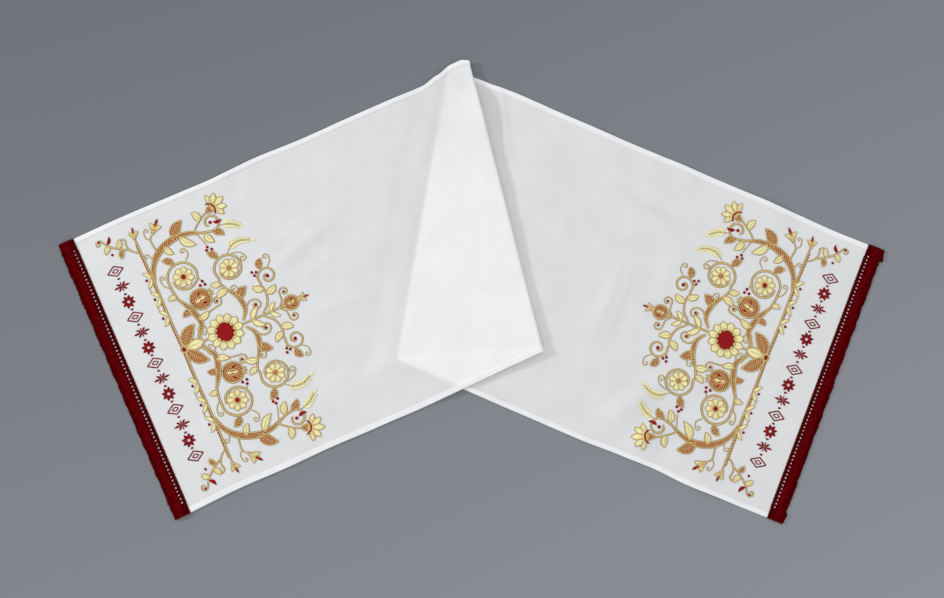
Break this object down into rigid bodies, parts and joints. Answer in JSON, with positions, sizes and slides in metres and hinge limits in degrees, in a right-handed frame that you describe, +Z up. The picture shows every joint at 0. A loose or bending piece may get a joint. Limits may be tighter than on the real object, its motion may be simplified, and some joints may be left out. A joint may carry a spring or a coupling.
{
  "type": "rushnyk ritual towel",
  "caption": "Long white ritual towel with crimson lace ends and embroidery, lying on a surface with one Z pleat in its middle.",
  "frame": {"origin": "on the surface the towel lies on, below the middle of its box", "axes": "+X from the left lace end to the right one, +Y towards the pleat's corner, +Z up from the surface"},
  "size_m": [1.0359, 0.5801, 0.012],
  "materials": {
    "white_cloth": "matte plain weave",
    "crimson_lace": "matte braided edging"
  },
  "bodies": {
    "root": {"cloth": "white_cloth", "lace_band_left": "crimson_lace", "lace_band_right": "crimson_lace"}
  },
  "joints": []
}
